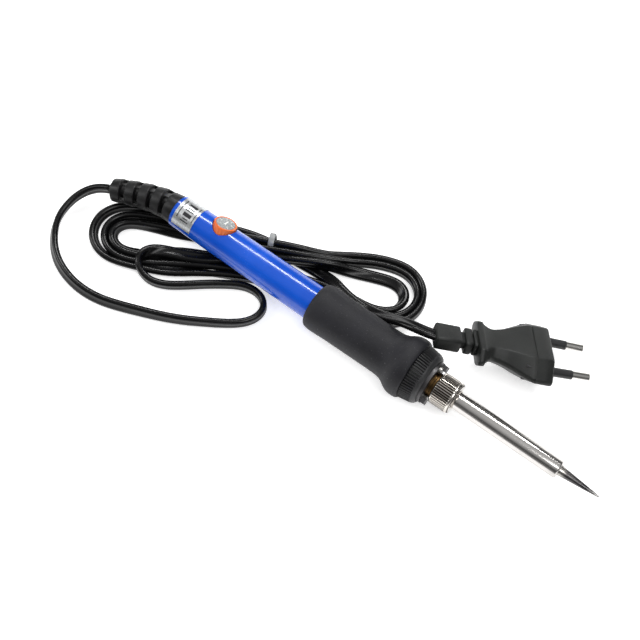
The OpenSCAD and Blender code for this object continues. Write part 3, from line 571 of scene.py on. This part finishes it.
cup = rounded([(-0.35, 0.0), (-0.35, FACE_R), (0.0, FACE_R + 0.12), (0.0, KNOB_R - 0.15), (-0.5, KNOB_R),
               (-KNOB_H, KNOB_R), (-KNOB_H, 1.6), (-KNOB_H + 3.48, 1.5), (-KNOB_H + 3.48, 0)], 0.22, 4)
dial_cup = make("dial_cup", [grid(round_about(cup, 144, fluted))], sharp=45)
disc = [(-0.36, 0.0), (-0.36, FACE_R - 0.02), (-0.05, FACE_R - 0.05), (0.0, FACE_R - 0.2), (0.0, 0.0)]
dial_disc = make("dial_disc", [grid(round_about(disc, 96))], sharp=40)


def plate(at, size, turn, height=0.06):
    """A thin raised rectangle on the dial's face: centre, (length, width) and its turn in radians."""
    a, b = size[0] / 2, size[1] / 2
    flat = np.array([(-a, -b), (a, -b), (a, b), (-a, b)]) @ np.array([[cos(turn), sin(turn)], [-sin(turn), cos(turn)]])
    flat = flat + at
    rows = [np.concatenate([flat, np.full((4, 1), h)], 1) for h in (-0.02, height)]
    return on_dial(np.array(rows))


marks = []
MARKS, SWEEP, FIRST = 11, radians(270), -pi / 2 - radians(45)
for k in range(MARKS):
    a = FIRST - SWEEP * k / (MARKS - 1)
    size = (0.75, 0.2) if k % 2 == 0 else (0.45, 0.14)
    marks.append(grid(plate(np.array([cos(a), sin(a)]) * 3.72, size, a), caps=True))
marks.append(grid(plate((0, 0.55), (2.9, 0.55), pi / 2), caps=True))
marks.append(grid(plate((0, -0.9), (1.3, 0.3), 0), caps=True))
for k in range(1, 7):
    a = FIRST - SWEEP * (k - 1) / 5
    words = bpy.data.curves.new(f"figure_{k}", "FONT")
    words.body, words.size, words.align_x, words.align_y = str(k), 1.35, "CENTER", "CENTER"
    words.resolution_u = 2
    words.extrude = 0.04
    shape = bpy.data.objects.new(f"figure_{k}", words)
    bpy.context.scene.collection.objects.link(shape)
    bpy.context.view_layer.update()
    flat = bpy.data.meshes.new_from_object(shape.evaluated_get(bpy.context.evaluated_depsgraph_get()))
    bpy.data.objects.remove(shape)
    co = np.empty(len(flat.vertices) * 3)
    flat.vertices.foreach_get("co", co)
    co = co.reshape(-1, 3) + [cos(a) * 2.75, sin(a) * 2.75, 0.02]
    faces = [list(p.vertices) for p in flat.polygons]
    marks.append((on_dial(co), faces, np.zeros((sum(len(f) for f in faces), 2))))
    bpy.data.meshes.remove(flat)
dial_marks = make("dial_marks", marks, sharp=30)

# %% [markdown]
# ## The twist tie
# A flat plastic-covered wire goes once round the waist of the hank, over the runs and under them, and its two ends
# are twisted together at the near side. The band is a section carried along a rounded loop. The twisted ends are
# the same section, rolled as it goes.

# %% Twist tie
def hank_place(points):
    """Points (s, t, z) of the hank's frame to the object's frame."""
    s, t, z = np.asarray(points, float).T
    return np.stack([HANK_AT[0] + s * cos(HANK_TURN) - t * sin(HANK_TURN),
                     HANK_AT[1] + s * sin(HANK_TURN) + t * cos(HANK_TURN), z], 1)


tie_loop = np.array([
    (0, -12.8, 3), (0, -12.75, 1.6), (0, -11.8, 0.35), (0, -4, 0.22), (0, 3, 0.22), (0, 9.6, 0.35), (0, 10.8, 1.8),
    (0, 10.9, 5), (0, 10.4, 8.6), (0, 8.6, 9.0), (0, 6, 8.6), (0, 3.6, 6.6), (0, 0, 6.1), (0, -6, 6.0),
    (0, -11.6, 5.9), (0, -12.7, 4.6), (0, -12.9, 3)]) + [TIE_S, 0, 0]
tie_line, _ = even_steps(smooth_curve(hank_place(tie_loop), 10), 0.5)
tie_line[:, 2] = np.maximum(tie_line[:, 2], 0.22)
TIE_W, TIE_T = 2.6, 0.36
tie_section = rounded([(0, -TIE_T / 2), (TIE_W / 2, -TIE_T / 2), (TIE_W / 2, TIE_T / 2), (-TIE_W / 2, TIE_T / 2),
                       (-TIE_W / 2, -TIE_T / 2), (0, -TIE_T / 2)], 0.14, 3)[:-1]
along = np.array([cos(HANK_TURN), sin(HANK_TURN), 0])


def strap(points, section, twist=None):
    """A flat section carried along a line whose width stays along the hank, or turns by `twist` as it goes."""
    tangent = np.gradient(points, axis=0)
    tangent /= np.linalg.norm(tangent, axis=1, keepdims=True)
    wide = along - tangent * (tangent @ along)[:, None]
    wide /= np.linalg.norm(wide, axis=1, keepdims=True)
    thick = np.cross(tangent, wide)
    if twist is not None:
        c, k = np.cos(twist)[:, None], np.sin(twist)[:, None]
        wide, thick = c * wide + k * thick, c * thick - k * wide
    return points[:, None] + wide[:, None] * section[None, :, :1] + thick[:, None] * section[None, :, 1:]


twist_ends = np.array([(-0.4, -13.2, 3.1), (1.2, -13.5, 3.0), (3.0, -13.9, 2.8), (5.0, -14.3, 2.4)]) + [TIE_S, 0, 0]
twisted, _ = even_steps(smooth_curve(hank_place(twist_ends), 10), 0.25)
turns = np.linspace(0, 3.2 * pi, len(twisted))
narrow = tie_section * [0.6, 1.6]
tie = make("twist_tie", [grid(strap(tie_line, tie_section), caps=True),
                         grid(strap(twisted, narrow, turns), caps=True),
                         grid(strap(twisted, narrow, turns + pi / 2), caps=True)], sharp=50)

# %% [markdown]
# ## Shader maths
# A material here is written as sums on sockets. One small class wraps a socket, so noise * 0.3 adds the Math node
# that it needs, and one method makes every other node from its type, its settings and its inputs. Whatever
# changes over a surface goes only to colour, roughness, metallic or the normal; the rest is set on the shader.

# %% Shader helpers
class Value:
    """A shader socket that takes part in sums."""

    def __init__(self, tree, socket):
        self.tree, self.socket = tree, socket

    def math(self, kind, *others):
        node = self.tree.nodes.new("ShaderNodeMath")
        node.operation = kind
        for slot, other in zip(node.inputs, (self, *others)):
            plug_in(self.tree, slot, other)
        return Value(self.tree, node.outputs[0])

    def __add__(self, other): return self.math("ADD", other)
    def __sub__(self, other): return self.math("SUBTRACT", other)
    def __mul__(self, other): return self.math("MULTIPLY", other)


def plug_in(tree, slot, value):
    """Links a Value to a socket, or sets a plain number, vector or colour on it."""
    if isinstance(value, Value):
        tree.links.new(value.socket, slot)
    else:
        slot.default_value = value


def tint(red, green, blue):
    """A colour given in screen values from 0 to 255, as the linear colour that shaders use."""
    c = np.array([red, green, blue]) / 255
    return (*np.where(c < 0.04045, c / 12.92, ((c + 0.055) / 1.055) ** 2.4).tolist(), 1.0)


class Finish:
    """One material: a Principled shader with constants on its own sockets, and nodes added as they are needed."""

    def __init__(self, name, **constants):
        self.material = bpy.data.materials.new(name)
        self.material.use_nodes = True
        self.tree = self.material.node_tree
        self.shader = self.tree.nodes["Principled BSDF"]
        for socket, value in constants.items():
            self.shader.inputs[socket.replace("_", " ")].default_value = value
        where = self.tree.nodes.new("ShaderNodeTexCoord")
        self.place = Value(self.tree, where.outputs["Object"])
        if "Base_Color" in constants:
            self.material.diffuse_color = constants["Base_Color"]

    def node(self, kind, settings=None, out=0, stops=None, **inputs):
        """A node of a type with its settings, then its colour stops, then the values or links of its sockets."""
        node = self.tree.nodes.new(kind)
        for key, value in (settings or {}).items():
            setattr(node, key, value)
        if stops:
            ramp = node.color_ramp
            while len(ramp.elements) < len(stops):
                ramp.elements.new(0.5)
            for element, (at, colour) in zip(ramp.elements, stops):
                element.position, element.color = at, colour
        for key, value in inputs.items():
            numbered = key[0] == "i" and key[1:].isdigit()
            plug_in(self.tree, node.inputs[int(key[1:]) if numbered else key.replace("_", " ")], value)
        return Value(self.tree, node.outputs[out])

    def noise(self, scale, detail=3, rough=0.55, where=None):
        """Cloudy values about a half, `scale` clouds to the metre."""
        return self.node("ShaderNodeTexNoise", Vector=where or self.place, Scale=scale, Detail=detail, Roughness=rough)

    def blend(self, mask, low, high):
        """One colour where the mask is 0 and the other where it is 1."""
        return self.node("ShaderNodeMix", {"data_type": "RGBA"}, out=2, i0=mask, i6=low, i7=high)

    def limit(self, value, low, high, to_low=0.0, to_high=1.0):
        """A range of values stretched over another, and held at its ends."""
        return self.node("ShaderNodeMapRange", {"clamp": True}, i0=value, i1=low, i2=high, i3=to_low, i4=to_high)

    def parts(self):
        """The three coordinates of the place."""
        split = self.tree.nodes.new("ShaderNodeSeparateXYZ")
        plug_in(self.tree, split.inputs[0], self.place)
        return [Value(self.tree, o) for o in split.outputs]

    def feed(self, socket, value):
        plug_in(self.tree, self.shader.inputs[socket], value)
        return self

    def bump(self, height, depth):
        """Raises the surface by `depth` metres where height is 1."""
        return self.feed("Normal", self.node("ShaderNodeBump", Strength=1.0, Distance=depth, Height=height))


def dress(finish, *names):
    """Gives a finish to pieces and CAD nodes, by object or by node name."""
    for name in names:
        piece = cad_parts[name] if isinstance(name, str) else name
        if not piece.data.materials:
            piece.data.materials.append(finish.material)
        for slot in piece.material_slots:
            slot.material = finish.material


# %% [markdown]
# ## Plastics and rubber
# Moulded plastic looks like its gloss more than like its colour. The glossy tube has a clear coat and a slow ripple
# in it. The grip's rubber is nearly matt, with a fine grain and specks of dust. The cord's jacket is smooth, and
# only its gloss varies.

# %% Moulded finishes
def moulded(name, dark, light, gloss, grain, depth, cloud=60, ripple=0.0, **more):
    """A moulded surface: two close shades in slow clouds, a grain in the gloss, and a fine bump of that grain."""
    finish = Finish(name, Base_Color=dark, **more)
    slow, fine = finish.noise(cloud, 4), finish.noise(grain, 2)
    finish.feed("Base Color", finish.blend(finish.limit(slow, 0.35, 0.68), dark, light))
    finish.feed("Roughness", finish.limit(slow * 0.6 + fine * 0.4, 0.35, 0.65, gloss - 0.06, gloss + 0.08))
    height = fine if not ripple else fine + slow * ripple
    return finish.bump(height, depth)


tube_blue = moulded("gloss_blue", tint(4, 72, 184), tint(10, 84, 202), 0.2, 900, 0.00002, 40, 0.5,
                    Coat_Weight=0.35, Coat_Roughness=0.05, Specular_IOR_Level=0.4)
cord_black = moulded("cord_jacket", tint(6, 6, 7), tint(12, 12, 13), 0.25, 1500, 0.000002, 60,
                     Specular_IOR_Level=0.28)
relief_black = moulded("relief_plastic", tint(9, 9, 10), tint(17, 17, 18), 0.42, 1800, 0.00005, 120,
                       Specular_IOR_Level=0.35)
grip_black = moulded("grip_rubber_grain", tint(17, 17, 22), tint(28, 28, 34), 0.6, 2600, 0.0001, 70,
                     Specular_IOR_Level=0.35)
dust = grip_black.limit(grip_black.noise(1900, 1, 0.3), 0.74, 0.8)
dusty = grip_black.shader.inputs["Base Color"].links[0].from_socket
grip_black.feed("Base Color", grip_black.blend(dust, Value(grip_black.tree, dusty), tint(84, 84, 88)))
collar_black = moulded("collar_plastic", tint(22, 22, 24), tint(36, 36, 38), 0.46, 2000, 0.00005, 150,
                       Specular_IOR_Level=0.5)
plug_black = moulded("plug_plastic", tint(20, 22, 21), tint(32, 34, 32), 0.46, 2400, 0.00007, 60,
                     Specular_IOR_Level=0.35)
sleeve_black = moulded("pin_sleeve_black", tint(20, 20, 22), tint(32, 32, 34), 0.4, 1800, 0.00003)
dial_orange = moulded("dial_orange", tint(226, 100, 26), tint(238, 118, 42), 0.34, 1500, 0.00003, 150,
                      Coat_Weight=0.2, Coat_Roughness=0.2)
tie_grey = moulded("tie_cover", tint(120, 122, 122), tint(160, 162, 160), 0.42, 1500, 0.00005, 300)

# %% [markdown]
# ## Metals
# Plated metal is a mirror that is never quite clean. The bottoms of the nut's grooves are painted darker, as shade,
# and made rougher, placed by the distance from the axis. The chrome's roughness is broken up by fine rubbing marks
# round the barrel, which is noise stretched along X. The tip goes from bright plating at its shank through
# heat-darkened iron to a bright tinned point, so its colour and roughness follow a ramp along X.

# %% Metal finishes
def plated(name, shade, rough, marks=(60, 2400, 2400), wear=0.1, **more):
    """Plating: rubbing marks are noise on a stretched place, and they change the gloss and tilt the surface."""
    finish = Finish(name, Base_Color=shade, Metallic=1.0, **more)
    stretched = finish.node("ShaderNodeVectorMath", {"operation": "MULTIPLY"}, i0=finish.place, i1=marks)
    lines, cloud = finish.noise(1.0, 3, where=stretched), finish.noise(90, 4)
    finish.feed("Roughness", finish.limit(lines * 0.5 + cloud * 0.5, 0.35, 0.65, rough, rough + wear))
    dull = tuple(0.8 * c for c in shade[:3]) + (1.0,)
    finish.feed("Base Color", finish.blend(finish.limit(cloud, 0.55, 0.75), shade, dull))
    return finish.bump(lines, 0.000002)


chrome = plated("barrel_plating", tint(206, 203, 200), 0.12, (2600, 90, 90), 0.1)
NUT_SHADE = tint(214, 209, 202)
nut_plate = plated("nut_plating", NUT_SHADE, 0.14, (300, 300, 300), 0.1)
_, y, z = nut_plate.parts()
reach = (y * y + (z - AXIS_Z * MM) * (z - AXIS_Z * MM)).math("SQRT") * 1000
# Painted shade: the groove bottoms, about 6.5 to 6.8 mm from the axis, get a dark colour and more roughness.
groove_shade = nut_plate.limit(reach, NUT_R - 0.5, NUT_R - 0.1, 1.0, 0.0) * nut_plate.limit(reach, 6.3, 6.5)
nut_plate.feed("Base Color", nut_plate.blend(groove_shade, NUT_SHADE, tint(60, 54, 48)))
nut_plate.feed("Roughness", nut_plate.limit(groove_shade, 0.0, 1.0, 0.14, 0.5))
zinc = plated("zinc_plate", tint(84, 83, 84), 0.38, (400, 400, 400), 0.2)
steel = plated("screw_steel_finish", tint(176, 174, 170), 0.24, (500, 500, 500), 0.15)
# The brass is painted much darker than clean brass, as the shade in the gap between the plate and the nut.
brass = plated("spigot_brass", tint(88, 68, 42), 0.36, (900, 200, 200), 0.15)
nickel = plated("pin_nickel", tint(226, 224, 220), 0.1, (300, 1200, 1200), 0.1)

tip_finish = Finish("tip_iron", Metallic=1.0)
x, _, _ = tip_finish.parts()
TIP_SPAN = (0.0905, 0.1101)
smear = tip_finish.noise(420, 5)
way = tip_finish.limit(x + (smear - 0.5) * 0.0022, *TIP_SPAN)
tip_finish.feed("Base Color", tip_finish.node(
    "ShaderNodeValToRGB", Fac=way,
    stops=[(0.0, tint(150, 148, 144)), (0.08, tint(176, 173, 168)), (0.2, tint(96, 94, 94)), (0.68, tint(72, 71, 73)),
           (0.86, tint(128, 126, 125)), (1.0, tint(190, 188, 186))]))
tip_finish.feed("Roughness", tip_finish.limit(smear, 0.3, 0.7, 0.18, 0.4))
tip_finish.bump(smear, 0.00004)

# %% [markdown]
# ## The label and the dial's print
# The rating label is brushed silver foil. On the real one it names its maker and its rating; here plain dark bars
# stand for the lines of print. Bars are masks: a band along the tube times a band round it. The angle round the
# tube comes from an arctangent of the place, so the bars follow the foil. The dial's face is speckled grey.

# %% Printed finishes
foil = Finish("label_foil", Base_Color=tint(190, 192, 192), Metallic=0.85)
x, y, z = foil.parts()
around = (z - AXIS_Z * MM).math("ARCTAN2", y) * (180 / pi)
along_label = (x - REAR * MM) * 1000
TOP_ANGLE = 90 - LEAN_DEG


def between(value, low, high, soft):
    """1 inside a range and 0 outside it, with soft edges."""
    return foil.limit(value, low - soft, low + soft) * foil.limit(value, high - soft, high + soft, 1.0, 0.0)


print_mask = None
BARS = [(3.2, 3.7, 2, 74), (5.4, 9.6, 8, 18), (5.4, 9.6, 25, 29), (5.4, 9.6, 34, 38), (5.4, 9.6, 45, 58),
        (6.2, 8.8, 64, 68), (5.4, 9.6, 73, 77), (10.7, 11.1, 2, 66)]
for low, high, a, b in BARS:
    bar = between(along_label, low, high, 0.07) * between(around, TOP_ANGLE + a, TOP_ANGLE + b, 0.7)
    print_mask = bar if print_mask is None else print_mask.math("MAXIMUM", bar)
brushed = foil.noise(1.0, 2, where=foil.node("ShaderNodeVectorMath", {"operation": "MULTIPLY"}, i0=foil.place,
                                            i1=(6000, 260, 260)))
silver = foil.blend(foil.limit(brushed, 0.3, 0.7), tint(170, 173, 175), tint(214, 216, 216))
foil.feed("Base Color", foil.blend(print_mask, silver, tint(24, 24, 28)))
foil.feed("Metallic", foil.limit(print_mask, 0.0, 1.0, 0.85, 0.0))
foil.feed("Roughness", foil.limit(brushed, 0.3, 0.7, 0.26, 0.42))
foil.bump(brushed, 0.00002)

face_grey = Finish("dial_face_grey", Base_Color=tint(150, 152, 152))
speckle = face_grey.noise(2600, 2, 0.8)
face_grey.feed("Base Color", face_grey.node(
    "ShaderNodeValToRGB", Fac=speckle,
    stops=[(0.36, tint(104, 110, 114)), (0.5, tint(140, 146, 148)), (0.6, tint(182, 186, 186)),
           (0.7, tint(212, 214, 212))]))
face_grey.feed("Roughness", face_grey.limit(speckle, 0.3, 0.7, 0.35, 0.55)).bump(speckle, 0.00003)
mark_white = moulded("dial_marks_white", tint(226, 226, 222), tint(240, 240, 236), 0.4, 2000, 0.00002)

# %% [markdown]
# ## Inside the handle
# Nothing here shows until the iron is taken apart, but each piece is a real one with a finish of its own: a green
# board, a blue potentiometer, a red film capacitor, lacquered resistors, ceramic and insulated leads.

# %% Hidden finishes and all the CAD nodes that stay
for name, nodes, dark, light, gloss, grain, depth, more in [
    ("board_lacquer", ["circuit_board"], (30, 96, 54), (44, 122, 68), 0.3, 1800, 0.00003,
     {"cloud": 400, "Coat_Weight": 0.3}),
    ("trimmer_blue", ["potentiometer_body"], (40, 78, 140), (58, 98, 162), 0.4, 1500, 0.00003, {}),
    ("capacitor_coat", ["film_capacitor"], (150, 44, 32), (184, 64, 46), 0.28, 700, 0.00008, {}),
    ("resistor_coat", ["resistors"], (186, 152, 104), (208, 176, 128), 0.35, 900, 0.00004, {}),
    ("diac_coat", ["diac"], (180, 92, 44), (214, 124, 66), 0.2, 900, 0.00003, {}),
    ("triac_case", ["triac"], (26, 26, 28), (40, 40, 42), 0.5, 2200, 0.00004, {}),
    ("ceramic_body", ["heater_base", "heater_element"], (226, 220, 204), (240, 236, 226), 0.55, 2600, 0.00005,
     {"cloud": 200}),
    ("lead_blue", ["mains_leads", "plug_wires"], (34, 76, 160), (52, 98, 186), 0.4, 1500, 0.00003, {}),
    ("lead_white", ["heater_leads"], (222, 218, 206), (238, 236, 228), 0.5, 2600, 0.00006, {}),
    ("clamp_cream", ["clamp_bar"], (222, 216, 200), (236, 232, 220), 0.45, 1500, 0.00004, {}),
    ("insert_grey", ["plug_insert"], (40, 40, 42), (56, 56, 58), 0.5, 1800, 0.00005, {}),
]:
    dress(moulded(name, tint(*dark), tint(*light), gloss, grain, depth, **more), *nodes)

for finish, *pieces in [
    (tube_blue, "handle_tube", "clamp_saddle"), (foil, "rating_label"), (zinc, "front_plate"),
    (steel, "plate_screws", "clamp_screws", "potentiometer_shaft"), (brass, "threaded_spigot", "plug_crimps"),
    (cord_black, "cord_inlet", cord), (nickel, "plug_pins"), (sleeve_black, "pin_sleeves"),
    (relief_black, strain_relief), (plug_black, plug_shell), (grip_black, grip), (collar_black, collar),
    (nut_plate, nut), (chrome, barrel), (tip_finish, tip), (dial_orange, dial_cup), (face_grey, dial_disc),
    (mark_white, dial_marks), (tie_grey, tie),
]:
    dress(finish, *pieces)

# %% [markdown]
# ## What moves and what stands for what
# Each new piece rides on the body of the CAD node that it replaces.

# %% Ride and replace
for piece, body, slot, nodes in [
    (strain_relief, "handle", "relief_rubber", ["strain_relief"]),
    (plug_shell, "handle", "plug_pvc", ["plug_body"]),
    (grip, "handle", "grip_rubber", ["grip_sleeve"]),
    (collar, "handle", "black_plastic", ["front_collar"]),
    (cord, "handle", "cord_pvc", ["cord_loop", "cord_hank", "cord_tail"]),
    (tie, "handle", "tie_plastic", ["hank_tie"]),
    (dial_cup, "dial", "orange_plastic", ["dial_knob"]),
    (dial_disc, "dial", "dial_print", ["dial_face"]),
    (dial_marks, "dial", "dial_print", []),
    (nut, "nut", "nut_chrome", ["barrel_nut"]),
    (barrel, "barrel", "barrel_chrome", ["barrel_tube"]),
    (tip, "tip", "tip_plating", ["soldering_tip"]),
]:
    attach(piece, body)
    if nodes:
        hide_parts(*nodes)

# %% [markdown]
# ## Floor and light
# A white floor under soft light gives the faint contact shadows of a product picture. Polished metal needs something
# dark to reflect, so the world goes from white overhead to grey low down, and narrow lights leave dark gaps.

# %% Stage and lights
FLOOR_HALF = 3.0
floor_mesh = bpy.data.meshes.new("floor")
floor_mesh.from_pydata([(-FLOOR_HALF, -FLOOR_HALF, 0), (FLOOR_HALF, -FLOOR_HALF, 0), (FLOOR_HALF, FLOOR_HALF, 0),
                        (-FLOOR_HALF, FLOOR_HALF, 0)], [], [(0, 1, 2, 3)])
floor = bpy.data.objects.new("floor", floor_mesh)
bpy.context.scene.collection.objects.link(floor)
paper = Finish("white_paper", Base_Color=(0.93, 0.93, 0.93, 1), Roughness=0.9, Specular_IOR_Level=0.1)
paper.shader.inputs["Emission Color"].default_value = (1, 1, 1, 1)
paper.shader.inputs["Emission Strength"].default_value = 0.55
paper.feed("Base Color", paper.blend(paper.noise(30, 2), (0.925, 0.925, 0.925, 1), (0.935, 0.935, 0.935, 1)))
floor_mesh.materials.append(paper.material)


def softbox(name, at, look, size, power):
    """An area light at a point, turned to face another, both in metres."""
    data = bpy.data.lights.new(name, "AREA")
    data.shape, data.size, data.size_y, data.energy = "RECTANGLE", size[0], size[1], power
    light = bpy.data.objects.new(name, data)
    bpy.context.scene.collection.objects.link(light)
    away = np.array(at, float) - look
    away /= np.linalg.norm(away)
    level = np.cross([0, 0, 1.0], away)
    level = level / np.linalg.norm(level) if np.linalg.norm(level) > 1e-6 else np.array([1.0, 0, 0])
    turn = np.eye(4)
    turn[:3, :3] = np.stack([level, np.cross(away, level), away], 1)
    turn[:3, 3] = at
    light.matrix_world = Matrix(turn.tolist())
    return light


softbox("key", (-0.30, 0.62, 0.85), (0, 0, 0), (0.8, 0.12), 8)
softbox("top", (0.45, -0.15, 1.15), (0, 0, 0), (0.5, 0.5), 5)
softbox("rim", (-0.75, -0.35, 0.55), (0, 0, 0), (0.25, 0.6), 3)

world = bpy.data.worlds.new("studio")
bpy.context.scene.world = world
world.use_nodes = True
tree = world.node_tree
sky = tree.nodes["Background"]
where = tree.nodes.new("ShaderNodeTexCoord")
split = tree.nodes.new("ShaderNodeSeparateXYZ")
ramp = tree.nodes.new("ShaderNodeValToRGB")
tree.links.new(where.outputs["Generated"], split.inputs[0])
tree.links.new(split.outputs[2], ramp.inputs[0])
tree.links.new(ramp.outputs[0], sky.inputs[0])
for at, level in [(0.0, 1.0), (0.25, 0.4), (0.6, 0.14), (1.0, 0.28)]:
    element = ramp.color_ramp.elements.new(at) if at not in (0.0, 1.0) else ramp.color_ramp.elements[int(at)]
    element.color = (level, level, level, 1)
sky.inputs[1].default_value = 0.6
bpy.context.scene.view_settings.view_transform = "Standard"
